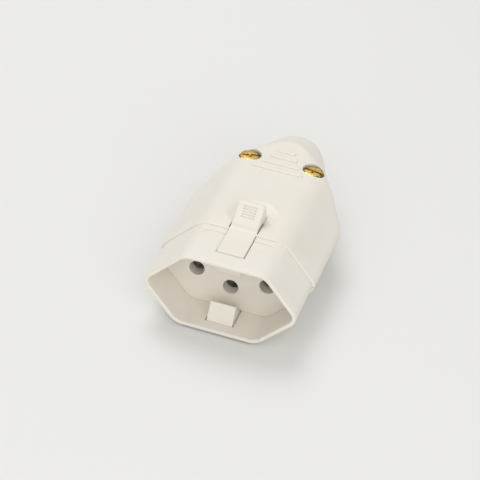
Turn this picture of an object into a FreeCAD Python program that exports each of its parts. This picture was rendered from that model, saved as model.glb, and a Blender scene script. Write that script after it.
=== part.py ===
import FreeCAD, Part
import math
import os

# Inline three-pin socket connector, millimetres.
# While it is being built, X is the width, Y runs back from the mouth and
# Z is up, with the row of outer pin holes on Z = 0. Everything is moved so
# that the origin is under the middle of the flat underside.

# Pins of the plug that goes in
PIN_PITCH = 19.0
EARTH_DROP = 3.0
PIN_R = 2.0
PIN_LENGTH = 19.0
PIN_CLEARANCE = 0.1
PIN_END_ROOM = 0.3

# Front moulding: a flattened hexagon
SIDE_ANGLE = 46.0
SKIRT_HALF_W = 21.3
SKIRT_HALF_H = 10.7
SKIRT_LENGTH = 16.1
SIDE_ROUND = 3.0
EDGE_ROUND = 5.0
LEAST_ROUND = 0.6
SKIRT_WALL = 1.05
RECESS_DEPTH = 11.1
RECESS_DRAFT = 0.12
RIM_ROUND = 0.38
FACE_THICK = 3.2
PANEL_HALF_W = 9.7
PANEL_START = 3.5
PANEL_END = 13.9
PANEL_DEPTH = 0.12
PANEL_ROUND = 2.2

# Rear cover, two half shells; the nose is turned: distance from its end, radius
COVER_STEP = 0.5
COVER_LIP_ROUND = 0.42
COVER_WALL = 1.8
COVER_EDGE_ROUND = 6.5
TOTAL_LENGTH = 77.0
FIT_GAP = 0.15
NOSE_STEPS = [(37.0, 22.6), (33.0, 20.6), (29.0, 18.6), (25.0, 16.75), (21.0, 15.0),
              (15.0, 12.5), (9.0, 10.3), (4.5, 8.75), (1.7, 7.7)]
NOSE_FACE_R = 6.1
NOSE_EXTRA_WALL = 0.35
NOSE_BLEND = 3.0
CORD_R = 4.1
CORD_BORE_LENGTH = 9.0

# Latches, one in each half shell
LATCH_WIDTH = 7.3
LATCH_GAP = 0.15
LATCH_FRONT = 5.1
LATCH_THICK = 1.5
LATCH_UNDER_GAP = 0.3
LATCH_LEAN = 0.4
LATCH_CORNER_ROUND = 0.6
LATCH_EDGE_ROUND = 0.28
LOWER_TONGUE_DROP = 0.2
CREASE_SET_BACK = 0.4
CREASE_R = 1.2
CREASE_DEPTH = 0.12
SLOT_WIDTH = 0.3
SLOT_DEPTH = 0.9
WEDGE_LENGTH = 6.3
WEDGE_RISE = 4.5
WEDGE_CROWN = 1.2
WEDGE_BACK = 2.6
WEDGE_ROUND = 0.7
FLUSH_PAD_LENGTH = 13.0
HOOK_WIDTH = 6.95
HOOK_ROUND = 0.2
HOOK_FRONT = 3.45
HOOK_RIDGE_Y = 5.4
HOOK_RIDGE_FLAT = 0.35
HOOK_DEPTH = 4.85
RIDGE_COUNT = 5
RIDGE_PITCH = 0.75
RIDGE_R = 0.2
RIDGE_LENGTH = 3.6
RIDGE_MARGIN = 0.9
DISH_R = 30.0
DISH_DEPTH = 0.8

# Grip bars on the top of the cover: distance from the nose's end, length
GRIP_BARS = [(28.0, 14.2), (24.65, 11.0), (21.3, 7.8), (17.95, 5.2)]
GRIP_BAR_WIDTH = 1.3
GRIP_BAR_HEIGHT = 0.42
GRIP_BAR_ROUND = 0.34
GRIP_BAR_CORNER = 0.5
GRIP_BAR_ROOT = 0.3

# Neck and the ribs and stops that locate the pieces in the shells
NECK_END = 27.0
GROOVE_Y = 20.6
GROOVE_WIDTH = 2.4
GROOVE_DEPTH = 1.1
GROOVE_HALF_LENGTH = 9.5
RETAINER_THICK = 2.2
STOP_X = 5.0
STOP_WIDTH = 2.0
STOP_THICK = 1.6
STOP_LENGTH = 3.85
BLOCK_RIB_WIDTH = 2.0

# Contacts: split sleeves, each with its terminal block
CHAMBER_R = 3.35
SLEEVE_R = 2.85
SLEEVE_BITE = 0.03
SLEEVE_END_GAP = 1.0
FLARE_WALL = 0.25
FLARE_LENGTH = 1.0
SLIT = 0.6
SLIT_STOP = 2.0
BLOCK_FRONT_WALL = 0.4
BLOCK_LENGTH = 10.0
BLOCK_WIDTH = 7.2
BLOCK_HEIGHT = 8.0
BLOCK_BEVEL = 0.4
WIRE_HOLE_R = 1.7
WIRE_HOLE_DROP = 0.4
WIRE_HOLE_WALL = 2.0
RING_SET_BACK = 2.2
RING_WIDTH = 1.6
RING_SEAT_DEPTH = 0.25
RING_PLAY = 0.1
RING_OPENING = 1.4
TERMINAL_SET_BACK = 6.2
TERMINAL_SHANK_R = 1.45
TERMINAL_TIP = 0.9
TERMINAL_HEAD_R = 2.6
TERMINAL_HEAD_H = 1.8
TERMINAL_HEAD_LIFT = 0.2

# Screws and nuts that hold the halves together
COVER_SCREW_X = 9.0
COVER_SCREW_FROM_END = 23.0
COVER_SHANK_R = 1.45
COVER_HEAD_R = 2.95
COVER_HEAD_H = 2.2
HEAD_BEVEL = 0.4
COVER_SCREW_TURN = {-1: 20.0, 1: -12.0}
BOSS_WALL = 0.7
SEAT_DEPTH = 2.4
SEAT_GAP = 0.15
SEAT_LIFT = 0.02
CROSS_LENGTH = 3.0
CROSS_DEPTH = 1.0
DRIVE_SLOT_WIDTH = 0.84
DRIVE_SLOT_DEPTH = 0.75
NUT_FLATS = 5.5
NUT_THICK = 2.4
NUT_SINK = 0.6
THREAD_PLAY = 0.03

# Cord clamp
CLAMP_SET_BACK = 5.4
CLAMP_HALF_LENGTH = 8.3
CLAMP_WIDTH = 5.0
CLAMP_SCREW_X = 6.2
CLAMP_BOTTOM = 1.6
CLAMP_THICK = 2.6
CLAMP_END_ROUND = 1.2
CLAMP_ARCH_WALL = 1.5
CLAMP_BITE = 0.2
CLAMP_SHANK_R = 1.1
CLAMP_SCREW_DEPTH = 3.8
CLAMP_HEAD_R = 1.95
CLAMP_HEAD_H = 1.5
PILLAR_R = 1.9

V = FreeCAD.Vector
FAR = 200.0
PAST = 1.0
OVERLAP = 0.5
SLOPE = math.tan(math.radians(SIDE_ANGLE))
SINE = math.sin(math.radians(SIDE_ANGLE))
HALF_H = SKIRT_HALF_H + COVER_STEP
COVER_HALF_W = SKIRT_HALF_W + COVER_STEP / SINE
COVER_INNER_H = HALF_H - COVER_WALL
PIN_HOLE_R = PIN_R + PIN_CLEARANCE
CONTACT_AXES = [(-PIN_PITCH / 2, 0.0), (0.0, -EARTH_DROP), (PIN_PITCH / 2, 0.0)]
CHAMBER_Y = RECESS_DEPTH + FACE_THICK
SLEEVE_START = CHAMBER_Y + SLEEVE_END_GAP
SLEEVE_BORE_END = RECESS_DEPTH + PIN_LENGTH + PIN_END_ROOM
BLOCK_START = SLEEVE_BORE_END + BLOCK_FRONT_WALL
BLOCK_END = BLOCK_START + BLOCK_LENGTH
RING_Y = SLEEVE_START + RING_SET_BACK
RETAINER_START = NECK_END + FIT_GAP
STOP_Y = RETAINER_START + RETAINER_THICK + FIT_GAP
CREASE_Y = SKIRT_LENGTH + CREASE_SET_BACK
WEDGE_TOP_Y = CREASE_Y + WEDGE_LENGTH
WEDGE_REAR_Y = WEDGE_TOP_Y + WEDGE_CROWN + WEDGE_BACK
LATCH_UNDER = HALF_H - LATCH_THICK
COVER_SCREW_Y = TOTAL_LENGTH - COVER_SCREW_FROM_END
BORE_START = TOTAL_LENGTH - CORD_BORE_LENGTH
CLAMP_Y = BORE_START - CLAMP_SET_BACK
NOSE_PROFILE = [(TOTAL_LENGTH - step, r) for step, r in NOSE_STEPS]
NOSE_START = NOSE_PROFILE[0][0]
SEAT_R = COVER_HEAD_R + SEAT_GAP
BOSS_R = SEAT_R + BOSS_WALL
CLAMP_TOP = CLAMP_BOTTOM + CLAMP_THICK


def rounded_loop(points, radii, y):
    """Closed wire at depth y through the (x, z) points, each corner rounded."""
    count = len(points)
    tangents = []
    for i in range(count):
        here = V(points[i][0], y, points[i][1])
        before = V(points[i - 1][0], y, points[i - 1][1]) - here
        after = V(points[(i + 1) % count][0], y, points[(i + 1) % count][1]) - here
        before.normalize()
        after.normalize()
        half = before.getAngle(after) / 2
        reach = radii[i] / math.tan(half)
        middle = before + after
        middle.normalize()
        apex = here + middle * (radii[i] / math.sin(half) - radii[i])
        tangents.append((here + before * reach, apex, here + after * reach))
    edges = []
    for i in range(count):
        start, apex, end = tangents[i]
        edges.append(Part.Arc(start, apex, end).toShape())
        edges.append(Part.makeLine(end, tangents[(i + 1) % count][0]))
    return Part.Wire(edges)


def hexagon(half_w, half_h, edge_round, inset, y):
    """Flattened hexagon at depth y, drawn in from its full size by inset."""
    wide = half_w - inset / SINE
    high = half_h - inset
    flat = wide - high / SLOPE
    points = [(-wide, 0), (-flat, high), (flat, high),
              (wide, 0), (flat, -high), (-flat, -high)]
    side = max(SIDE_ROUND - inset, LEAST_ROUND)
    edge = max(edge_round - inset, LEAST_ROUND)
    return rounded_loop(points, [side, edge, edge] * 2, y)


def skirt_loop(inset, y):
    return hexagon(SKIRT_HALF_W, SKIRT_HALF_H, EDGE_ROUND, inset, y)


def cover_loop(inset, y):
    return hexagon(COVER_HALF_W, HALF_H, COVER_EDGE_ROUND, inset, y)


def prism(wire, length):
    return Part.Face(wire).extrude(V(0, length, 0))


def box(x0, x1, y0, y1, z0, z1):
    return Part.makeBox(x1 - x0, y1 - y0, z1 - z0, V(x0, y0, z0))


def rod(r, x, z, y0, y1):
    return Part.makeCylinder(r, y1 - y0, V(x, y0, z), V(0, 1, 0))


def post(r, x, y, z0, z1):
    return Part.makeCylinder(r, z1 - z0, V(x, y, z0), V(0, 0, 1))


def cross_bar(r, half_length, y, z):
    return Part.makeCylinder(r, 2 * half_length, V(-half_length, y, z), V(1, 0, 0))


def side_prism(points, width):
    """Solid from (y, z) points, centred on X = 0."""
    corners = [V(-width / 2, y, z) for y, z in points]
    face = Part.Face(Part.makePolygon(corners + corners[:1]))
    return face.extrude(V(width, 0, 0))


def flipped(shape):
    """The same shape turned over about the long axis."""
    return shape.rotated(V(0, 0, 0), V(0, 1, 0), 180)


def turned(shape, x, y, degrees):
    """The same shape turned about the upright line through (x, y)."""
    return shape.rotated(V(x, y, 0), V(0, 0, 1), degrees)


def smooth_curve(profile):
    curve = Part.BSplineCurve()
    curve.interpolate([V(0, y, r) for y, r in profile])
    return [curve.toShape()]


def straight_lines(profile):
    points = [V(0, y, r) for y, r in profile]
    return [Part.makeLine(a, b) for a, b in zip(points, points[1:])]


def revolved(outline, closing):
    """Solid of revolution about Y from outline edges and straight lines after them."""
    wire = Part.Wire(outline + straight_lines(closing))
    return Part.Face(wire).revolve(V(0, 0, 0), V(0, 1, 0), 360)


def round_edges(shape, radius, choose):
    return shape.makeFillet(radius, [edge for edge in shape.Edges if choose(edge)])


def bevel_edges(shape, size, choose):
    return shape.makeChamfer(size, [edge for edge in shape.Edges if choose(edge)])


def above(z):
    """Test for edges that lie wholly above z."""
    return lambda edge: all(corner.Point.z > z for corner in edge.Vertexes)


def at_depth(y):
    """Test for edges that lie wholly at depth y."""
    return lambda edge: all(abs(corner.Point.y - y) < 1e-4 for corner in edge.Vertexes)


def latch_window():
    """Slot in the skirt for one latch: right through in front, a pocket behind."""
    width = LATCH_WIDTH + 2 * LATCH_GAP
    top = SKIRT_HALF_H + PAST
    low = SKIRT_HALF_H - SKIRT_WALL - RECESS_DRAFT - PAST
    hook_front = HOOK_FRONT - LATCH_GAP
    front = LATCH_FRONT - LATCH_GAP
    through = side_prism([(hook_front, low), (RECESS_DEPTH, low), (RECESS_DEPTH, top),
                          (front, top), (front, SKIRT_HALF_H),
                          (hook_front, SKIRT_HALF_H - SKIRT_WALL)], width)
    pocket = box(-width / 2, width / 2, RECESS_DEPTH - OVERLAP, SKIRT_LENGTH + OVERLAP,
                 LATCH_UNDER - LATCH_UNDER_GAP, top)
    return through.fuse(pocket)


def facet_panel():
    """Shallow panel in the skirt's flat facet that fades out towards the mouth."""
    top = SKIRT_HALF_H + PAST
    panel = box(-PANEL_HALF_W, PANEL_HALF_W, PANEL_START, PANEL_END, SKIRT_HALF_H - PAST, top)
    panel = round_edges(panel, PANEL_ROUND,
                        lambda edge: edge.BoundBox.ZLength > PAST
                        and edge.BoundBox.YMin > PANEL_START)
    slope = side_prism([(PANEL_START, SKIRT_HALF_H), (PANEL_END, SKIRT_HALF_H - PANEL_DEPTH),
                        (PANEL_END, top), (PANEL_START, top)], 2 * PANEL_HALF_W)
    return panel.common(slope)


def make_front_body():
    """Hexagonal socket with its recess, latch windows and the neck behind."""
    skirt = prism(skirt_loop(0, 0), SKIRT_LENGTH)
    neck_inset = COVER_WALL + FIT_GAP
    neck = prism(cover_loop(neck_inset, SKIRT_LENGTH), NECK_END - SKIRT_LENGTH)
    body = skirt.fuse(neck)
    mouth = skirt_loop(SKIRT_WALL, 0)
    floor = skirt_loop(SKIRT_WALL + RECESS_DRAFT, RECESS_DEPTH)
    body = body.cut(Part.makeLoft([mouth, floor], True, True))
    body = round_edges(body, RIM_ROUND, at_depth(0))
    for opening in (facet_panel(), latch_window()):
        body = body.cut(opening).cut(flipped(opening))
    for x, z in CONTACT_AXES:
        body = body.cut(rod(PIN_HOLE_R, x, z, RECESS_DEPTH - PAST, CHAMBER_Y + PAST))
        body = body.cut(rod(CHAMBER_R, x, z, CHAMBER_Y, NECK_END + PAST))
    groove = box(-GROOVE_HALF_LENGTH, GROOVE_HALF_LENGTH, GROOVE_Y, GROOVE_Y + GROOVE_WIDTH,
                 HALF_H - neck_inset - GROOVE_DEPTH, HALF_H)
    return body.cut(groove).cut(flipped(groove))


def where_nose_meets_flat(edge):
    ends = [corner.Point for corner in edge.Vertexes]
    return all(abs(abs(end.z) - HALF_H) < 1e-4 and end.y > NOSE_START for end in ends)


def cover_solid():
    """Outer form of both half shells together."""
    hull = prism(cover_loop(0, SKIRT_LENGTH), TOTAL_LENGTH - SKIRT_LENGTH)
    hull = round_edges(hull, COVER_LIP_ROUND, at_depth(SKIRT_LENGTH))
    closing = [(TOTAL_LENGTH, NOSE_FACE_R), (TOTAL_LENGTH, 0), (NOSE_START, 0)]
    nose = revolved(smooth_curve(NOSE_PROFILE),
                    NOSE_PROFILE[-1:] + closing + NOSE_PROFILE[:1])
    hull = hull.common(nose.fuse(rod(FAR, 0, 0, SKIRT_LENGTH, NOSE_START)))
    return round_edges(hull, NOSE_BLEND, where_nose_meets_flat)


def cover_space(wall):
    """Space within both half shells, wall in from outside, up to the cord entry."""
    start = SKIRT_LENGTH - PAST
    profile = [(y, r - wall - NOSE_EXTRA_WALL) for y, r in NOSE_PROFILE[::2]]
    closing = [(profile[-1][0], 0), (NOSE_START, 0)]
    nose = revolved(straight_lines(profile), profile[-1:] + closing + profile[:1])
    inner = prism(cover_loop(wall, start), BORE_START - start)
    return inner.common(nose.fuse(rod(FAR, 0, 0, start, NOSE_START)))


def latch_tongue(top):
    """Tongue over the skirt, up to height top, with the hook under it."""
    half = LATCH_WIDTH / 2
    plate = box(-half, half, LATCH_FRONT, CREASE_Y, LATCH_UNDER, top)
    plate = round_edges(plate, LATCH_CORNER_ROUND,
                        lambda edge: edge.BoundBox.ZLength > 0.5 * LATCH_THICK
                        and edge.BoundBox.YMax < CREASE_Y)
    plate = round_edges(plate, LATCH_EDGE_ROUND,
                        lambda edge: edge.BoundBox.ZMin > LATCH_UNDER + LATCH_THICK / 2
                        and edge.BoundBox.YMin < CREASE_Y - LATCH_EDGE_ROUND)
    nose = side_prism([(HOOK_FRONT + LATCH_LEAN, LATCH_UNDER), (LATCH_FRONT, SKIRT_HALF_H),
                       (CREASE_Y, SKIRT_HALF_H), (CREASE_Y, LATCH_UNDER)], LATCH_WIDTH)
    tongue = plate.fuse(nose)
    ridge = LATCH_UNDER - HOOK_DEPTH
    root = LATCH_UNDER + LATCH_THICK / 2
    hook = side_prism([(LATCH_FRONT, root), (HOOK_FRONT, LATCH_UNDER),
                       (HOOK_RIDGE_Y, ridge), (HOOK_RIDGE_Y + HOOK_RIDGE_FLAT, ridge),
                       (RECESS_DEPTH - FIT_GAP, LATCH_UNDER), (RECESS_DEPTH - FIT_GAP, root)],
                      HOOK_WIDTH)
    hook = round_edges(hook, HOOK_ROUND, lambda edge: edge.BoundBox.ZMin < ridge + HOOK_ROUND)
    return tongue.fuse(hook)


def latch_grooves():
    """Pair of narrow slots beside the latch, and the crease across it."""
    slot = box(LATCH_WIDTH / 2, LATCH_WIDTH / 2 + SLOT_WIDTH, CREASE_Y, WEDGE_TOP_Y,
               HALF_H - SLOT_DEPTH, HALF_H + PAST)
    crease = cross_bar(CREASE_R, LATCH_WIDTH / 2, CREASE_Y, HALF_H + CREASE_R - CREASE_DEPTH)
    return Part.makeCompound([slot, slot.mirror(V(0, 0, 0), V(1, 0, 0)), crease])


def finger_ridges(y, z, along):
    """Row of fine grooves that starts at (y, z) and runs against along."""
    bars = []
    for i in range(RIDGE_COUNT):
        at = V(0, y, z) - along * (RIDGE_MARGIN + i * RIDGE_PITCH)
        bars.append(cross_bar(RIDGE_R, RIDGE_LENGTH / 2, at.y, at.z))
    return Part.makeCompound(bars)


def thumb_wedge():
    """Raised rear end of the upper latch, with fine ridges near its top."""
    low = HALF_H - COVER_WALL / 2
    top = HALF_H + WEDGE_RISE
    buried = (HALF_H - low) / WEDGE_RISE
    wedge = side_prism([(CREASE_Y - buried * WEDGE_LENGTH, low), (WEDGE_TOP_Y, top),
                        (WEDGE_TOP_Y + WEDGE_CROWN, top),
                        (WEDGE_REAR_Y + buried * WEDGE_BACK, low)], LATCH_WIDTH)
    wedge = round_edges(wedge, WEDGE_ROUND, lambda edge: edge.BoundBox.ZMax > HALF_H)
    along = V(0, WEDGE_LENGTH, WEDGE_RISE)
    along.normalize()
    return wedge.cut(finger_ridges(WEDGE_TOP_Y, top, along))


def finger_dish(y, keep_to):
    """Shallow dip in the cover on both sides of a latch's rear end."""
    dish = Part.makeSphere(DISH_R, V(0, y, HALF_H - DISH_DEPTH + DISH_R))
    return dish.cut(box(-LATCH_WIDTH / 2, LATCH_WIDTH / 2, SKIRT_LENGTH, keep_to,
                        HALF_H - DISH_DEPTH - PAST, HALF_H + PAST))


def block_rib(x, z):
    """Rib that stops a terminal block from behind, down to height z."""
    start = BLOCK_END + FIT_GAP
    return box(x - BLOCK_RIB_WIDTH / 2, x + BLOCK_RIB_WIDTH / 2, start,
               start + STOP_THICK, z, COVER_INNER_H + OVERLAP)


def make_shell():
    """One half shell, parted on Z = 0, upper side."""
    outer = cover_solid()
    upper = box(-FAR, FAR, 0, FAR, 0, FAR)
    shell = outer.cut(cover_space(COVER_WALL))
    half = shell.cut(rod(CORD_R, 0, 0, BORE_START - PAST, TOTAL_LENGTH + PAST)).common(upper)
    rib_half = GROOVE_HALF_LENGTH - 2 * FIT_GAP
    inside = [box(-rib_half, rib_half, GROOVE_Y + FIT_GAP, GROOVE_Y + GROOVE_WIDTH - FIT_GAP,
                  COVER_INNER_H - GROOVE_DEPTH + FIT_GAP, COVER_INNER_H + OVERLAP)]
    wire_top = WIRE_HOLE_R + WIRE_HOLE_DROP + FIT_GAP
    for s in (-1, 1):
        inside.append(box(s * STOP_X - STOP_WIDTH / 2, s * STOP_X + STOP_WIDTH / 2,
                          STOP_Y, STOP_Y + STOP_THICK,
                          COVER_INNER_H - STOP_LENGTH, COVER_INNER_H + OVERLAP))
        inside.append(block_rib(s * PIN_PITCH / 2, wire_top))
        inside.append(post(BOSS_R, s * COVER_SCREW_X, COVER_SCREW_Y, 0, HALF_H))
    within = cover_space(COVER_WALL / 2)
    for piece in inside:
        half = half.fuse(piece.common(within))
    return half


def screw_hole(s, r, z0, z1):
    return post(r, s * COVER_SCREW_X, COVER_SCREW_Y, z0, z1)


def make_cover_top():
    """Upper half shell, with the raised latch and the grip bars."""
    half = make_shell()
    half = half.fuse(latch_tongue(HALF_H))
    half = half.cut(finger_dish(WEDGE_REAR_Y - WEDGE_CROWN, WEDGE_REAR_Y))
    half = half.fuse(thumb_wedge())
    half = half.cut(latch_grooves())
    for from_end, length in GRIP_BARS:
        y = TOTAL_LENGTH - from_end
        bar = box(-length / 2, length / 2, y - GRIP_BAR_WIDTH / 2, y + GRIP_BAR_WIDTH / 2,
                  HALF_H - GRIP_BAR_ROOT, HALF_H + GRIP_BAR_HEIGHT)
        bar = round_edges(bar, GRIP_BAR_CORNER,
                          lambda edge: edge.BoundBox.ZLength > GRIP_BAR_HEIGHT)
        half = half.fuse(round_edges(bar, GRIP_BAR_ROUND, above(HALF_H)))
    for s in (-1, 1):
        half = half.cut(screw_hole(s, COVER_SHANK_R + FIT_GAP, -PAST, HALF_H + PAST))
        half = half.cut(screw_hole(s, SEAT_R, HALF_H - SEAT_DEPTH, HALF_H + PAST))
    return half


def hexagon_post(flats, x, y, z0, z1):
    r = flats / 2 / math.cos(math.radians(30))
    points = [V(x + r * math.cos(math.radians(60 * i)),
                y + r * math.sin(math.radians(60 * i)), z0) for i in range(6)]
    return Part.Face(Part.makePolygon(points + points[:1])).extrude(V(0, 0, z1 - z0))


def make_cover_bottom():
    """Lower half shell, with the flush latch, nut pockets and clamp pillars."""
    half = make_shell()
    pad_rear = CREASE_Y + FLUSH_PAD_LENGTH
    half = half.fuse(latch_tongue(HALF_H - LOWER_TONGUE_DROP))
    half = half.cut(finger_dish(pad_rear - DISH_DEPTH, pad_rear))
    half = half.cut(latch_grooves())
    half = half.cut(finger_ridges(pad_rear, HALF_H, V(0, 1, 0)))
    earth_rib = block_rib(0, EARTH_DROP + WIRE_HOLE_R + WIRE_HOLE_DROP + FIT_GAP)
    half = flipped(half.fuse(earth_rib))
    nut_seat = -HALF_H + NUT_THICK + NUT_SINK
    within = cover_space(COVER_WALL / 2)
    for s in (-1, 1):
        x = s * CLAMP_SCREW_X
        half = half.cut(screw_hole(s, COVER_SHANK_R + FIT_GAP, -HALF_H - PAST, PAST))
        half = half.cut(hexagon_post(NUT_FLATS + 2 * FIT_GAP, s * COVER_SCREW_X, COVER_SCREW_Y,
                                     -HALF_H - PAST, nut_seat))
        pillar = post(PILLAR_R, x, CLAMP_Y, -HALF_H, CLAMP_BOTTOM - FIT_GAP)
        half = half.fuse(pillar.common(within))
        half = half.cut(post(CLAMP_SHANK_R + THREAD_PLAY, x, CLAMP_Y,
                             -CLAMP_SCREW_DEPTH - FIT_GAP, CLAMP_BOTTOM + PAST))
    return half


def make_contact(x, z):
    """Sleeve for one pin with its terminal block in one piece."""
    bore_r = PIN_R + SLEEVE_BITE
    before = SLEEVE_START - PAST
    sleeve = rod(SLEEVE_R, x, z, SLEEVE_START, BLOCK_START + OVERLAP)
    sleeve = sleeve.cut(rod(bore_r, x, z, before, SLEEVE_BORE_END))
    sleeve = sleeve.cut(Part.makeCone(SLEEVE_R - FLARE_WALL, bore_r, FLARE_LENGTH,
                                      V(x, SLEEVE_START, z), V(0, 1, 0)))
    slit_end = NECK_END - SLIT_STOP
    for wide, high in ((SLIT / 2, SLEEVE_R + PAST), (SLEEVE_R + PAST, SLIT / 2)):
        sleeve = sleeve.cut(box(x - wide, x + wide, before, slit_end, z - high, z + high))
    seat = rod(SLEEVE_R + PAST, x, z, RING_Y, RING_Y + RING_WIDTH + 2 * RING_PLAY)
    sleeve = sleeve.cut(seat.cut(rod(SLEEVE_R - RING_SEAT_DEPTH, x, z, before, slit_end)))
    block = box(x - BLOCK_WIDTH / 2, x + BLOCK_WIDTH / 2, BLOCK_START, BLOCK_END,
                z - BLOCK_HEIGHT / 2, z + BLOCK_HEIGHT / 2)
    block = block.makeChamfer(BLOCK_BEVEL, block.Edges)
    block = block.cut(rod(WIRE_HOLE_R, x, z - WIRE_HOLE_DROP, BLOCK_START + WIRE_HOLE_WALL,
                          BLOCK_END + PAST))
    block = block.cut(post(TERMINAL_SHANK_R + THREAD_PLAY, x, BLOCK_START + TERMINAL_SET_BACK,
                           z, z + BLOCK_HEIGHT))
    return sleeve.fuse(block)


def make_ring(x, z):
    """Open spring ring that holds the sleeve's fingers in."""
    start = RING_Y + RING_PLAY
    end = start + RING_WIDTH
    outer = CHAMBER_R - FIT_GAP
    inner = SLEEVE_R - RING_SEAT_DEPTH + RING_PLAY
    ring = rod(outer, x, z, start, end).cut(rod(inner, x, z, start - PAST, end + PAST))
    return ring.cut(box(x - RING_OPENING / 2, x + RING_OPENING / 2, start - PAST, end + PAST,
                        z, z + outer + PAST))


def slotted_screw(x, y, tip, under_head, shank_r, head_r, head_h, bevel):
    """Cheese-head screw that stands on (x, y), with a slot across its head."""
    top = under_head + head_h
    shank = post(shank_r, x, y, tip, under_head + head_h / 2)
    head = post(head_r, x, y, under_head, top)
    head = bevel_edges(head, bevel, above(under_head + head_h / 2))
    slot = box(x - head_r - PAST, x + head_r + PAST, y - DRIVE_SLOT_WIDTH / 2,
               y + DRIVE_SLOT_WIDTH / 2, top - DRIVE_SLOT_DEPTH, top + PAST)
    return shank.fuse(head).cut(slot)


def make_terminal_screw(x, z):
    under_head = z + BLOCK_HEIGHT / 2 + TERMINAL_HEAD_LIFT
    return slotted_screw(x, BLOCK_START + TERMINAL_SET_BACK, z + TERMINAL_TIP, under_head,
                         TERMINAL_SHANK_R, TERMINAL_HEAD_R, TERMINAL_HEAD_H, HEAD_BEVEL)


def make_cover_screw(s):
    """Screw with a slot and a cross in its head, left at its own turn."""
    x, y = s * COVER_SCREW_X, COVER_SCREW_Y
    under_head = HALF_H - SEAT_DEPTH + SEAT_LIFT
    screw = slotted_screw(x, y, -HALF_H + NUT_SINK, under_head, COVER_SHANK_R,
                          COVER_HEAD_R, COVER_HEAD_H, HEAD_BEVEL)
    top = under_head + COVER_HEAD_H
    for wide, long in ((CROSS_LENGTH, DRIVE_SLOT_WIDTH), (DRIVE_SLOT_WIDTH, CROSS_LENGTH)):
        screw = screw.cut(box(x - wide / 2, x + wide / 2, y - long / 2, y + long / 2,
                              top - CROSS_DEPTH, top + PAST))
    return turned(screw, x, y, COVER_SCREW_TURN[s])


def make_cover_nut(s):
    x, y = s * COVER_SCREW_X, COVER_SCREW_Y
    start = -HALF_H + NUT_SINK
    nut = hexagon_post(NUT_FLATS, x, y, start, start + NUT_THICK)
    return nut.cut(post(COVER_SHANK_R + THREAD_PLAY, x, y, start - PAST,
                        start + NUT_THICK + PAST))


def make_retainer():
    """Plate behind the neck, with a hole for each contact's sleeve."""
    plate = prism(cover_loop(COVER_WALL + 2 * FIT_GAP, RETAINER_START), RETAINER_THICK)
    for x, z in CONTACT_AXES:
        plate = plate.cut(rod(SLEEVE_R + FIT_GAP, x, z, NECK_END, STOP_Y))
    return plate


def make_clamp_bar():
    """Bar over the cord, arched where the cord passes under it."""
    y0 = CLAMP_Y - CLAMP_WIDTH / 2
    y1 = CLAMP_Y + CLAMP_WIDTH / 2
    bar = box(-CLAMP_HALF_LENGTH, CLAMP_HALF_LENGTH, y0, y1, CLAMP_BOTTOM, CLAMP_TOP)
    upright = [edge for edge in bar.Edges if edge.BoundBox.ZLength > CLAMP_THICK / 2]
    bar = bar.makeFillet(CLAMP_END_ROUND, upright)
    cord_r = CORD_R - CLAMP_BITE
    arch = rod(cord_r + CLAMP_ARCH_WALL, 0, 0, y0, y1)
    bar = bar.fuse(arch.common(box(-FAR, FAR, y0, y1, CLAMP_BOTTOM, FAR)))
    bar = bar.cut(rod(cord_r, 0, 0, y0 - PAST, y1 + PAST))
    for s in (-1, 1):
        bar = bar.cut(post(CLAMP_SHANK_R + FIT_GAP, s * CLAMP_SCREW_X, CLAMP_Y,
                           CLAMP_BOTTOM - PAST, CLAMP_TOP + PAST))
    return bar


def make_clamp_screw(s):
    return slotted_screw(s * CLAMP_SCREW_X, CLAMP_Y, -CLAMP_SCREW_DEPTH, CLAMP_TOP + SEAT_LIFT,
                         CLAMP_SHANK_R, CLAMP_HEAD_R, CLAMP_HEAD_H, HEAD_BEVEL)


def main():
    parts = {"front_body": make_front_body(), "cover_top": make_cover_top(),
             "cover_bottom": make_cover_bottom(), "contact_retainer": make_retainer(),
             "clamp_bar": make_clamp_bar()}
    for name, (x, z) in zip(("left", "earth", "right"), CONTACT_AXES):
        parts["contact_" + name] = make_contact(x, z)
        parts["spring_ring_" + name] = make_ring(x, z)
        parts["terminal_screw_" + name] = make_terminal_screw(x, z)
    for name, s in (("left", -1), ("right", 1)):
        parts["cover_screw_" + name] = make_cover_screw(s)
        parts["cover_nut_" + name] = make_cover_nut(s)
        parts["clamp_screw_" + name] = make_clamp_screw(s)
    os.makedirs("parts", exist_ok=True)
    for node, shape in parts.items():
        shape = shape.removeSplitter()
        shape.translate(V(0, -TOTAL_LENGTH / 2, HALF_H))
        limits = shape.BoundBox
        print(node, shape.isValid(), len(shape.Solids), round(shape.Volume, 1),
              [round(v, 2) for v in (limits.XMin, limits.XMax, limits.YMin, limits.YMax,
                                     limits.ZMin, limits.ZMax)])
        shape.exportStep("parts/%s.step" % node)


main()
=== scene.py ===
"""Inline socket connector: finishes, fine pieces, stage and camera."""

import math

import bmesh
import bpy
from bpy.props import FloatProperty, FloatVectorProperty, PointerProperty
from mathutils import Matrix, Vector


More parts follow.
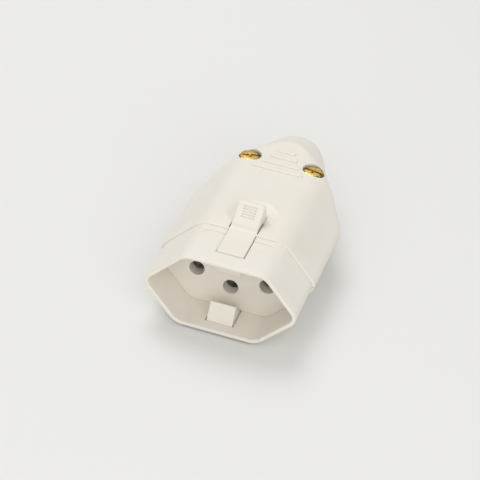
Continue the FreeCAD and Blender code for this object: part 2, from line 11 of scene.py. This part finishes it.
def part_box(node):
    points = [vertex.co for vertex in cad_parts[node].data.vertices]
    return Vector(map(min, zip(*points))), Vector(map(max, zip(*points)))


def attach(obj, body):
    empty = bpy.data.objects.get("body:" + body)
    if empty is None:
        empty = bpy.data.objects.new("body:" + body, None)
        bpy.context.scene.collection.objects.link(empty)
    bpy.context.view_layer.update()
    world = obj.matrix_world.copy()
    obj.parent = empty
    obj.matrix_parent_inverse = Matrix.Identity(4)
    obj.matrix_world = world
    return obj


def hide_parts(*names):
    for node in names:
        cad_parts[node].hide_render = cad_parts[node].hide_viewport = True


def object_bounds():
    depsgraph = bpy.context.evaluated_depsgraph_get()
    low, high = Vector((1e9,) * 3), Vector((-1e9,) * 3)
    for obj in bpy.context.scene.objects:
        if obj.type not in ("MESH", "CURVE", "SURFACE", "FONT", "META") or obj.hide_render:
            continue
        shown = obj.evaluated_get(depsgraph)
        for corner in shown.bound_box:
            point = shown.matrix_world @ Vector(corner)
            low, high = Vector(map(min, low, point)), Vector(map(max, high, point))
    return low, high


bl_info = {
    "name": "Inline socket connector",
    "version": (1, 0, 0),
    "blender": (4, 5, 0),
    "location": "View3D > Sidebar > Connector",
    "description": "Dresses the solids of an inline socket connector",
    "category": "Object",
}

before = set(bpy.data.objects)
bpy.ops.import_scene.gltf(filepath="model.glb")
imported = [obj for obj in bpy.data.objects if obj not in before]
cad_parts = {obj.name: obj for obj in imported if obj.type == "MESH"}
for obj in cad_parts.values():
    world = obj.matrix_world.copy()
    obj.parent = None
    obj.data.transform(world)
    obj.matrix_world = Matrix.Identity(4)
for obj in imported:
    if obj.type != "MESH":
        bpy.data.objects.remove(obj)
CAD_LOW, CAD_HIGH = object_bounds()

MM = 0.001
COVER_NODES = ("cover_top", "cover_bottom")
CONTACTS = ("left", "earth", "right")
SIDES = ("left", "right")
FACING = 0.9
TOUCH = 1e-6
MERGE = 1e-7
SMOOTH_BELOW = math.radians(32.0)
HEAD_SIDES = 64
SHANK_SIDES = 32
BORE_SIDES = 48

# Gold screws of the cover, which sit a little small and low in their seats
COVER_SCREW_TURNS = (math.radians(20.0), math.radians(-12.0))
COVER_HEAD_H = 2.2 * MM
COVER_SHANK_R = 1.45 * MM
COVER_SLOT_WIDTH = 0.84 * MM
COVER_SLOT_DEPTH = 0.55 * MM
CROSS_LENGTH = 2.8 * MM
CROSS_DEEPER = 1.6
CROSS_TAPER = 0.55
HEAD_GAP = 0.15 * MM
HEAD_SUNK = 0.2 * MM

# Screws inside
TERMINAL_HEAD_H = 1.8 * MM
TERMINAL_SHANK_R = 1.45 * MM
CLAMP_HEAD_H = 1.5 * MM
CLAMP_SHANK_R = 1.1 * MM
SMALL_SLOT = 0.75 * MM

# Shares of a screw head's radius or of its dome's rise, (inset, rise) at each step
DOME_RISE = 0.1
DOME_STEPS = ((0.09, 0.55), (0.16, 0.3), (0.3, 0.15))

# Thread: shares of the shank's radius, lengths in pitches, and (crest or root, share of
# the pitch)
PITCH = 0.36
ROOT = 0.84
CORE = 0.98
POINT_PITCHES = 1.6
NECK_PITCHES = 2.0
RUN_OUT_PITCHES = 2.5
CORE_INTO_HEAD = 0.4
NECK_INTO_HEAD = 0.1
THREAD_STEPS = 24
THREAD_PROFILE = ((False, 0.0), (False, 0.15), (True, 0.45), (True, 0.6), (False, 0.9),
                  (False, 1.0))

NUT_BORE_R = 1.48 * MM
NUT_BEVEL = 0.13

# Moulded plastic
PARTING_HEIGHT = 11.2 * MM
HAIRLINE = 0.07 * MM
HAIRLINE_DEPTH = 0.08 * MM
BLOTCH_SIZE = 9.0 * MM
SHEEN_SIZE = 2.2 * MM
GRAIN_SIZE = 0.28 * MM
GRAIN_DEPTH = 0.012 * MM
# Painted shade in corners and narrow gaps: its reach, its tone and how much of it
NOOK_REACH = 1.0 * MM
NOOK_SHADE_TONE = 0.55
NOOK_SHADE_COVER = 0.62
GRIME_TONE = 0.34
GRIME_COVER = 0.8

# Plated and plain metal
MOTTLE_SIZE = 0.7 * MM
STAIN_SIZE = 0.55 * MM
DENT_SIZE = 0.4 * MM
DENT_DEPTH = 0.03 * MM
HAZE_SIZE = 1.5 * MM
HAZE_TONE = 0.72
SCRATCH_DEPTH = 0.01 * MM

FLOOR_DROP = 0.05 * MM

# Name, place, size in metres and power in watts
LAMPS = (("key_lamp", (-0.35, 0.40, 0.85), 0.6, 3.3),
         ("fill_lamp", (0.45, -0.70, 0.45), 1.0, 2.5),
         ("front_lamp", (-0.05, -0.70, 0.55), 0.9, 1.5))
ROOM_LIGHT = 0.58


class Signal:
    """A number that changes over a surface; each operator adds one Math node."""

    def __init__(self, paint, socket):
        self.paint = paint
        self.socket = socket

    def _math(self, operation, first, second):
        values = {0: first, 1: second}
        node = self.paint.node("ShaderNodeMath", {"operation": operation}, values)
        return Signal(self.paint, node.outputs[0])

    def __add__(self, other):
        return self._math("ADD", self, other)

    __radd__ = __add__

    def __sub__(self, other):
        return self._math("SUBTRACT", self, other)

    def __rsub__(self, other):
        return self._math("SUBTRACT", other, self)

    def __mul__(self, other):
        return self._math("MULTIPLY", self, other)

    __rmul__ = __mul__

    def __truediv__(self, other):
        return self._math("DIVIDE", self, other)

    def above(self, edge, soft):
        """0 below edge and 1 past edge + soft, with a smooth step between."""
        settings = {"interpolation_type": "SMOOTHSTEP"}
        values = {"Value": self, "From Min": edge, "From Max": edge + soft}
        node = self.paint.node("ShaderNodeMapRange", settings, values)
        return Signal(self.paint, node.outputs[0])


class Paint:
    """One material on a Principled shader, on the piece's own coordinates in metres."""

    def __init__(self, name, **constants):
        self.material = bpy.data.materials.new(name)
        self.material.use_nodes = True
        self.tree = self.material.node_tree
        self.shader = self.tree.nodes["Principled BSDF"]
        for socket, value in constants.items():
            self.shader.inputs[socket.replace("_", " ")].default_value = value
        self.place = self.node("ShaderNodeTexCoord").outputs["Object"]

    def node(self, kind, settings=None, values=None):
        """A node of any kind: its settings first, then the values or links of its sockets."""
        node = self.tree.nodes.new(kind)
        for key, value in (settings or {}).items():
            setattr(node, key, value)
        for key, value in (values or {}).items():
            self.plug(node.inputs[key], value)
        return node

    def plug(self, socket, value):
        if isinstance(value, Signal):
            value = value.socket
        if isinstance(value, bpy.types.NodeSocket):
            self.tree.links.new(value, socket)
        else:
            socket.default_value = value

    def put(self, name, value):
        self.plug(self.shader.inputs[name], value)

    def noise(self, size, detail=3.0, stretch=(1.0, 1.0, 1.0)):
        """Noise whose blotches are about size metres across."""
        scaled = self.node("ShaderNodeMapping", None, {"Vector": self.place, "Scale": stretch})
        values = {"Vector": scaled.outputs[0], "Scale": 1.0 / size, "Detail": detail}
        return Signal(self, self.node("ShaderNodeTexNoise", None, values).outputs[0])

    def blend(self, amount, first, second):
        """Colour between first and second."""
        node = self.node("ShaderNodeMix", {"data_type": "RGBA"}, {"Factor": amount})
        self.plug(node.inputs[6], first)
        self.plug(node.inputs[7], second)
        return node.outputs[2]

    def axis(self, name):
        """The place along one axis, in metres."""
        node = self.node("ShaderNodeSeparateXYZ", None, {"Vector": self.place})
        return Signal(self, node.outputs[name])

    def upright(self):
        """1 on walls and 0 on faces that lie level."""
        normal = self.node("ShaderNodeNewGeometry").outputs["True Normal"]
        rise = Signal(self, self.node("ShaderNodeSeparateXYZ", None,
                                      {"Vector": normal}).outputs["Z"])
        return 1.0 - (rise * rise).above(0.8, 0.15)

    def nooks(self, reach):
        """Rises to 1 in corners and gaps whose other side is nearer than reach metres."""
        node = self.node("ShaderNodeAmbientOcclusion", {"samples": 8}, {"Distance": reach})
        return (1.0 - Signal(self, node.outputs["AO"])).above(0.3, 0.4)

    def bump(self, height, distance, under=None):
        """Normal that follows height; under is a normal to lay it on."""
        values = {"Height": height, "Distance": distance}
        if under is not None:
            values["Normal"] = under
        return self.node("ShaderNodeBump", None, values).outputs[0]


def rgba(colour):
    return (*colour, 1.0)


def toned(colour, share):
    return tuple(share * part for part in colour)


class ConnectorColours(bpy.types.PropertyGroup):
    plastic: FloatVectorProperty(
        name="Plastic", description="Warm white of the housing and cover",
        subtype="COLOR", size=3, default=(0.815, 0.775, 0.700))
    plastic_shade: FloatVectorProperty(
        name="Plastic shade", description="Slightly darker blotches in the moulding",
        subtype="COLOR", size=3, default=(0.795, 0.753, 0.672))
    inner_plastic: FloatVectorProperty(
        name="Inner plastic", description="Plain plastic of the retainer and clamp",
        subtype="COLOR", size=3, default=(0.62, 0.59, 0.53))
    gold: FloatVectorProperty(
        name="Gold", description="Yellow plating of the cover screws",
        subtype="COLOR", size=3, default=(0.86, 0.62, 0.22))
    # Stains on the plating, and painted shade down in the slot and cross of the drive
    gold_stain_and_shade: FloatVectorProperty(
        name="Dark gold", description="Plating down in the slots",
        subtype="COLOR", size=3, default=(0.22, 0.13, 0.03))
    brass: FloatVectorProperty(
        name="Plated brass", description="Nickel plated contacts and nuts",
        subtype="COLOR", size=3, default=(0.55, 0.52, 0.46))
    steel: FloatVectorProperty(
        name="Steel", description="Small screws and spring rings",
        subtype="COLOR", size=3, default=(0.58, 0.58, 0.56))


class ConnectorStage(bpy.types.PropertyGroup):
    azimuth: FloatProperty(
        name="Azimuth", description="Turn of the view from straight along +Y",
        subtype="ANGLE", default=math.radians(12.15))
    elevation: FloatProperty(
        name="Elevation", description="Height of the view over the floor",
        subtype="ANGLE", default=math.radians(33.56))
    roll: FloatProperty(
        name="Roll", description="Turn of the camera about its own line of sight",
        subtype="ANGLE", default=math.radians(8.14))
    camera_place: FloatVectorProperty(
        name="Camera", description="Where the camera stands",
        subtype="TRANSLATION", unit="LENGTH", size=3, default=(0.08727, -0.42943, 0.2959))
    lens: FloatProperty(
        name="Lens", description="Focal length on a 36 mm sensor, in millimetres",
        min=20.0, max=300.0, default=145.78)
    floor_size: FloatProperty(
        name="Floor", description="Side of the square floor", unit="LENGTH", default=3.0)


def settings():
    return bpy.context.scene.connector_colours, bpy.context.scene.connector_stage


def deselect():
    for obj in bpy.context.selected_objects:
        obj.select_set(False)


def wear(node, material):
    """Gives a carried-over solid its material."""
    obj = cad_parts[node]
    obj.data.materials.clear()
    obj.data.materials.append(material)


def add_rod(radius, low, high, sides=HEAD_SIDES, turn=0.0):
    """Upright cylinder between two heights on the object's axis."""
    deselect()
    bpy.ops.mesh.primitive_cylinder_add(
        vertices=sides, radius=radius, depth=high - low,
        location=(0.0, 0.0, (low + high) / 2), rotation=(0.0, 0.0, turn))
    bpy.ops.object.transform_apply(location=True, rotation=True, scale=True)
    return bpy.context.active_object


def add_block(size, middle):
    deselect()
    bpy.ops.mesh.primitive_cube_add(size=1.0, location=middle)
    block = bpy.context.active_object
    block.scale = size
    bpy.ops.object.transform_apply(location=True, rotation=True, scale=True)
    return block


def pick_faces(piece, wanted):
    """Enters edit mode with just those faces selected whose middle and normal pass."""
    deselect()
    bpy.context.view_layer.objects.active = piece
    piece.select_set(True)
    bpy.ops.object.mode_set(mode="EDIT")
    bpy.ops.mesh.select_mode(type="FACE")
    bpy.ops.mesh.select_all(action="DESELECT")
    mesh = bmesh.from_edit_mesh(piece.data)
    for face in mesh.faces:
        face.select_set(wanted(face.calc_center_median(), face.normal))
    bmesh.update_edit_mesh(piece.data)


def leave_edit():
    bpy.ops.object.mode_set(mode="OBJECT")


def dome_top(piece, top, steps):
    """Draws the top face in and up, once for each (inset, rise)."""
    pick_faces(piece, lambda middle, normal: normal.z > FACING and middle.z > top - TOUCH)
    for inset, rise in steps:
        bpy.ops.mesh.inset(thickness=inset, depth=0.0)
        bpy.ops.transform.translate(value=(0.0, 0.0, rise))
    leave_edit()


def taper_bottom(block, bottom, factor):
    """Draws the lowest face of a cutter in, so that the recess narrows downwards."""
    pick_faces(block,
               lambda middle, normal: normal.z < -FACING and middle.z < bottom + TOUCH)
    bpy.ops.transform.resize(value=(factor, factor, 1.0))
    leave_edit()


def apply_modifier(piece, kind, **settings_of):
    deselect()
    bpy.context.view_layer.objects.active = piece
    piece.select_set(True)
    bpy.ops.object.modifier_add(type=kind)
    modifier = piece.modifiers[-1]
    for key, value in settings_of.items():
        setattr(modifier, key, value)
    bpy.ops.object.modifier_apply(modifier=modifier.name)


def combine(piece, other, operation):
    apply_modifier(piece, "BOOLEAN", operation=operation, object=other, solver="EXACT")
    bpy.data.objects.remove(other, do_unlink=True)


def thread(root_r, crest_r, pitch, low, high):
    """Helical skin between two heights, made by screwing a zigzag about the axis."""
    turns = max(1, round((high - low) / pitch))
    deselect()
    bpy.ops.mesh.primitive_plane_add(size=1.0, location=(0.0, 0.0, 0.0))
    skin = bpy.context.active_object
    outline = bmesh.new()
    corners = [outline.verts.new((crest_r if crest else root_r, 0.0, low + share * pitch))
               for crest, share in THREAD_PROFILE]
    for first, second in zip(corners, corners[1:]):
        outline.edges.new((first, second))
    outline.to_mesh(skin.data)
    outline.free()
    apply_modifier(skin, "SCREW", axis="Z", angle=math.tau, screw_offset=pitch,
                   iterations=turns, steps=THREAD_STEPS, render_steps=THREAD_STEPS,
                   use_merge_vertices=True, merge_threshold=MERGE)
    pick_faces(skin, lambda middle, normal: True)
    bpy.ops.mesh.fill_holes(sides=0)
    bpy.ops.mesh.normals_make_consistent(inside=False)
    leave_edit()
    return skin


def join_into(piece, others):
    deselect()
    for other in others:
        other.select_set(True)
    piece.select_set(True)
    bpy.context.view_layer.objects.active = piece
    bpy.ops.object.join()


def settle(piece, name, node, material, middle, turn=0.0):
    """Stands a finished piece, made on the axis, in the place of its node."""
    deselect()
    bpy.context.view_layer.objects.active = piece
    piece.select_set(True)
    bpy.ops.object.shade_smooth_by_angle(angle=SMOOTH_BELOW)
    piece.name = name
    piece.data.name = name
    piece.rotation_euler = (0.0, 0.0, turn)
    piece.location = (middle.x, middle.y, 0.0)
    bpy.ops.object.transform_apply(location=True, rotation=True, scale=True)
    piece.data.materials.clear()
    piece.data.materials.append(material)
    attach(piece, "root")
    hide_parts(node)


def screw_on_axis(tip, under_head, top, head_r, shank_r, slot_w, slot_d, cross):
    """Screw with a domed, slotted head and a threaded shank; cross is its reach or 0."""
    rise = DOME_RISE * head_r
    head = add_rod(head_r, under_head, top - rise)
    dome_top(head, top - rise, [(inset * head_r, up * rise) for inset, up in DOME_STEPS])
    slot_floor = top - slot_d
    combine(head, add_block((3 * head_r, slot_w, 2 * slot_d), (0.0, 0.0, top)), "DIFFERENCE")
    if cross:
        deep = CROSS_DEEPER * slot_d
        for size in ((cross, slot_w, 2 * deep), (slot_w, cross, 2 * deep)):
            cutter = add_block(size, (0.0, 0.0, top))
            taper_bottom(cutter, top - deep, CROSS_TAPER)
            combine(head, cutter, "DIFFERENCE")
    pitch = PITCH * shank_r
    root_r = ROOT * shank_r
    solid = slot_floor - under_head
    core = add_rod(CORE * root_r, tip, under_head + CORE_INTO_HEAD * solid, SHANK_SIDES)
    point = add_rod(root_r, tip, tip + POINT_PITCHES * pitch, SHANK_SIDES)
    neck = add_rod(shank_r, under_head - NECK_PITCHES * pitch,
                   under_head + NECK_INTO_HEAD * solid, SHANK_SIDES)
    skin = thread(root_r, shank_r, pitch, tip + pitch, under_head - RUN_OUT_PITCHES * pitch)
    join_into(head, (core, point, neck, skin))
    return head


def moulded_plastic(name, colour, shade, parting=None):
    """Satin moulded plastic: faint blotches, the fine grain of the mould, and painted shade
    darkening its corners and narrow gaps.

    parting is the height at which two half shells meet in a hairline, if any.
    """
    paint = Paint(name, IOR=1.49)
    blotch = paint.noise(BLOTCH_SIZE, 2.0)
    skin = paint.blend(blotch.above(0.35, 0.4), rgba(colour), rgba(shade))
    grain = paint.bump(paint.noise(GRAIN_SIZE, 2.0), GRAIN_DEPTH)
    # Painted shade: darker where corners, creases and narrow gaps are near
    skin = paint.blend(NOOK_SHADE_COVER * paint.nooks(NOOK_REACH), skin,
                       rgba(toned(colour, NOOK_SHADE_TONE)))
    if parting is not None:
        off = (paint.axis("Z") - parting) / HAIRLINE
        line = (1.0 - (off * off).above(0.2, 0.8)) * paint.upright()
        skin = paint.blend(GRIME_COVER * line, skin, rgba(toned(colour, GRIME_TONE)))
        grain = paint.bump(1.0 - line, HAIRLINE_DEPTH, under=grain)
    paint.put("Base Color", skin)
    paint.put("Roughness", 0.34 + 0.14 * paint.noise(SHEEN_SIZE))
    paint.put("Normal", grain)
    return paint.material


def plated_gold(name, colour, dark, middle, top, head_r):
    """Yellow plating with random stains, darker in patches along the rim, and painted shade
    down in the slot and the cross of the drive.
    """
    paint = Paint(name, Metallic=1.0)
    centred = paint.node("ShaderNodeVectorMath", {"operation": "SUBTRACT"},
                         {0: paint.place, 1: (middle.x, middle.y, 0.0)})
    flat = paint.node("ShaderNodeVectorMath", {"operation": "MULTIPLY"},
                      {0: centred.outputs[0], 1: (1.0, 1.0, 0.0)})
    reach = Signal(paint, paint.node("ShaderNodeVectorMath", {"operation": "LENGTH"},
                                     {0: flat.outputs[0]}).outputs["Value"])
    rim = reach.above(0.66 * head_r, 0.24 * head_r)
    # Painted shade: darker down in the slot, and darker still in the deeper cross of the drive
    depth = top - paint.axis("Z")
    slot = depth.above(0.12 * head_r, 0.08 * head_r)
    pit = depth.above(0.22 * head_r, 0.05 * head_r)
    # Random mottle: darker patches along the rim, and breaks in the painted shade of the drive
    mottle = paint.noise(MOTTLE_SIZE, 2.0)
    patches = mottle.above(0.42, 0.14)
    broken = 0.1 + 0.9 * mottle.above(0.46, 0.12)
    stain = paint.noise(STAIN_SIZE, 2.0).above(0.48, 0.14)
    # Stains, darker patches along the rim, and the painted shade in the drive
    shade = (0.5 * stain + 0.75 * rim * patches + 0.7 * slot * broken
             + 0.8 * pit).above(0.0, 1.0)
    paint.put("Base Color", paint.blend(shade, rgba(colour), rgba(dark)))
    paint.put("Roughness", 0.3 + 0.22 * shade)
    paint.put("Normal", paint.bump(paint.noise(DENT_SIZE), DENT_DEPTH))
    return paint.material


def plain_metal(name, colour, low, grain):
    """Bright metal with a haze; low is its least roughness, grain its scratches' width."""
    paint = Paint(name, Metallic=1.0)
    haze = paint.noise(HAZE_SIZE)
    paint.put("Base Color", paint.blend(haze.above(0.4, 0.3), rgba(colour),
                                        rgba(toned(colour, HAZE_TONE))))
    paint.put("Roughness", low + 0.18 * haze)
    scratches = paint.noise(grain, 2.0, stretch=(1.0, 0.1, 1.0))
    paint.put("Normal", paint.bump(scratches, SCRATCH_DEPTH))
    return paint.material


class CONNECTOR_OT_finish_housing(bpy.types.Operator):
    """Finish the front moulding and both halves of the cover"""
    bl_idname = "connector.finish_housing"
    bl_label = "Finish housing"

    def execute(self, context):
        colours, _ = settings()
        skirt = moulded_plastic("skirt_plastic", colours.plastic, colours.plastic_shade)
        cover = moulded_plastic("cover_plastic", colours.plastic, colours.plastic_shade,
                                PARTING_HEIGHT)
        wear("front_body", skirt)
        for node in COVER_NODES:
            wear(node, cover)
        return {"FINISHED"}


class CONNECTOR_OT_finish_inside(bpy.types.Operator):
    """Finish the contacts, rings, retainer and clamp"""
    bl_idname = "connector.finish_inside"
    bl_label = "Finish inside"

    def execute(self, context):
        colours, _ = settings()
        plastic = moulded_plastic("inner_plastic", colours.inner_plastic,
                                  toned(colours.inner_plastic, 0.9))
        brass = plain_metal("brass", colours.brass, 0.22, 0.3 * MM)
        steel = plain_metal("steel", colours.steel, 0.2, 0.2 * MM)
        for node in ("contact_retainer", "clamp_bar"):
            wear(node, plastic)
        for name in CONTACTS:
            wear("contact_" + name, brass)
            wear("spring_ring_" + name, steel)
        return {"FINISHED"}


class CONNECTOR_OT_cover_screws(bpy.types.Operator):
    """Make the two gold screws of the cover, with a slot and a cross in their heads"""
    bl_idname = "connector.cover_screws"
    bl_label = "Cover screws"

    def execute(self, context):
        colours, _ = settings()
        for side, turn in zip(SIDES, COVER_SCREW_TURNS):
            node = "cover_screw_" + side
            low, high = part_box(node)
            middle = (low + high) / 2
            head_r = (high.x - low.x) / 2 - HEAD_GAP
            top = high.z - HEAD_SUNK
            screw = screw_on_axis(low.z, high.z - COVER_HEAD_H, top, head_r, COVER_SHANK_R,
                                  COVER_SLOT_WIDTH, COVER_SLOT_DEPTH, CROSS_LENGTH)
            gold = plated_gold("gold_" + side, colours.gold, colours.gold_stain_and_shade, middle,
                               top, head_r)
            settle(screw, "gold_screw_" + side, node, gold, middle, turn)
        return {"FINISHED"}


class CONNECTOR_OT_small_screws(bpy.types.Operator):
    """Make the slotted screws of the terminals and of the cord clamp"""
    bl_idname = "connector.small_screws"
    bl_label = "Small screws"

    def execute(self, context):
        colours, _ = settings()
        steel = plain_metal("zinc_steel", colours.steel, 0.22, 0.15 * MM)
        kinds = [("terminal_screw_" + name, TERMINAL_HEAD_H, TERMINAL_SHANK_R)
                 for name in CONTACTS]
        kinds += [("clamp_screw_" + name, CLAMP_HEAD_H, CLAMP_SHANK_R) for name in SIDES]
        for node, head_h, shank_r in kinds:
            low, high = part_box(node)
            screw = screw_on_axis(low.z, high.z - head_h, high.z, (high.x - low.x) / 2,
                                  shank_r, SMALL_SLOT, SMALL_SLOT, 0.0)
            settle(screw, "slotted_" + node, node, steel, (low + high) / 2)
        return {"FINISHED"}


class CONNECTOR_OT_nuts(bpy.types.Operator):
    """Make the two hexagonal nuts with bevelled corners and a plain bore, countersunk at both
    ends
    """
    bl_idname = "connector.nuts"
    bl_label = "Nuts"

    def execute(self, context):
        colours, _ = settings()
        brass = plain_metal("nut_plating", colours.brass, 0.25, 0.2 * MM)
        for side in SIDES:
            node = "cover_nut_" + side
            low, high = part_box(node)
            nut = self.nut_on_axis(low.z, high.z, (high.x - low.x) / 2, NUT_BORE_R)
            settle(nut, "hex_nut_" + side, node, brass, (low + high) / 2)
        return {"FINISHED"}

    def nut_on_axis(self, low, high, corner_r, bore_r):
        nut = add_rod(corner_r, low, high, 6, math.radians(30.0))
        rounded = add_rod(1.001 * corner_r, low, high)
        cut = NUT_BEVEL * corner_r
        sink_r = bore_r + 0.5 * cut
        apply_modifier(rounded, "BEVEL", width=cut, segments=3, limit_method="ANGLE",
                       angle_limit=math.radians(60.0))
        combine(nut, rounded, "INTERSECT")
        combine(nut, add_rod(bore_r, low - cut, high + cut, BORE_SIDES), "DIFFERENCE")
        for end, inner in ((high, -1.0), (low, 1.0)):
            sink = add_rod(sink_r, min(end, end + inner * cut),
                           max(end, end + inner * cut), BORE_SIDES)
            pick_faces(sink, lambda middle, normal: normal.z * inner > FACING)
            bpy.ops.transform.resize(value=(bore_r / sink_r, bore_r / sink_r, 1.0))
            leave_edit()
            combine(nut, sink, "DIFFERENCE")
        return nut


class CONNECTOR_OT_set_stage(bpy.types.Operator):
    """Lay the floor, hang the lamps and place the camera"""
    bl_idname = "connector.set_stage"
    bl_label = "Set stage"

    def execute(self, context):
        _, stage = settings()
        self.lay_floor(stage)
        self.hang_lamps()
        self.light_world(context.scene)
        self.place_camera(context.scene, stage)
        context.scene.view_settings.view_transform = "Standard"
        return {"FINISHED"}

    def lay_floor(self, stage):
        deselect()
        bpy.ops.mesh.primitive_plane_add(size=stage.floor_size,
                                         location=(0, 0, CAD_LOW[2] - FLOOR_DROP))
        floor = bpy.context.active_object
        floor.name = "floor"
        bpy.ops.object.transform_apply(location=True, rotation=True, scale=True)
        paint = Paint("floor_paper", Roughness=0.9)
        paint.put("Base Color", (0.80, 0.80, 0.79, 1.0))
        floor.data.materials.append(paint.material)

    def hang_lamps(self):
        for name, place, size, power in LAMPS:
            data = bpy.data.lights.new(name, "AREA")
            data.shape = "DISK"
            data.size = size
            data.energy = power
            lamp = bpy.data.objects.new(name, data)
            bpy.context.scene.collection.objects.link(lamp)
            lamp.location = place
            lamp.rotation_euler = (-Vector(place)).to_track_quat("-Z", "Y").to_euler()

    def light_world(self, scene):
        world = bpy.data.worlds.new("soft_room")
        scene.world = world
        world.use_nodes = True
        tree = world.node_tree
        background = tree.nodes["Background"]
        background.inputs["Color"].default_value = (1.0, 0.99, 0.97, 1.0)
        background.inputs["Strength"].default_value = ROOM_LIGHT

    def place_camera(self, scene, stage):
        sin_a, cos_a = math.sin(stage.azimuth), math.cos(stage.azimuth)
        sin_e, cos_e = math.sin(stage.elevation), math.cos(stage.elevation)
        sin_r, cos_r = math.sin(stage.roll), math.cos(stage.roll)
        ahead = Vector((-sin_a * cos_e, cos_a * cos_e, -sin_e))
        level = Vector((cos_a, sin_a, 0.0))
        upright = level.cross(ahead)
        right = level * cos_r + upright * sin_r
        up = upright * cos_r - level * sin_r
        data = bpy.data.cameras.new("camera")
        data.lens = stage.lens
        data.sensor_width = 36.0
        camera = bpy.data.objects.new("camera", data)
        scene.collection.objects.link(camera)
        turn = Matrix((right, up, -ahead)).transposed().to_4x4()
        camera.matrix_world = Matrix.Translation(stage.camera_place) @ turn
        scene.camera = camera


class CONNECTOR_PT_panel(bpy.types.Panel):
    bl_label = "Inline socket connector"
    bl_idname = "CONNECTOR_PT_panel"
    bl_space_type = "VIEW_3D"
    bl_region_type = "UI"
    bl_category = "Connector"

    def draw(self, context):
        for group in settings():
            for name in group.bl_rna.properties.keys():
                if name not in ("rna_type", "name"):
                    self.layout.prop(group, name)
        for operator in OPERATORS:
            self.layout.operator(operator.bl_idname)


OPERATORS = (CONNECTOR_OT_finish_housing, CONNECTOR_OT_finish_inside,
             CONNECTOR_OT_cover_screws, CONNECTOR_OT_small_screws, CONNECTOR_OT_nuts,
             CONNECTOR_OT_set_stage)
GROUPS = (ConnectorColours, ConnectorStage)
CLASSES = GROUPS + OPERATORS + (CONNECTOR_PT_panel,)


def register():
    for cls in CLASSES:
        bpy.utils.register_class(cls)
    bpy.types.Scene.connector_colours = PointerProperty(type=ConnectorColours)
    bpy.types.Scene.connector_stage = PointerProperty(type=ConnectorStage)


def unregister():
    del bpy.types.Scene.connector_stage
    del bpy.types.Scene.connector_colours
    for cls in reversed(CLASSES):
        bpy.utils.unregister_class(cls)


def main():
    register()
    bpy.ops.connector.finish_housing()
    bpy.ops.connector.finish_inside()
    bpy.ops.connector.cover_screws()
    bpy.ops.connector.small_screws()
    bpy.ops.connector.nuts()
    bpy.ops.connector.set_stage()


if __name__ == "__main__":
    main()
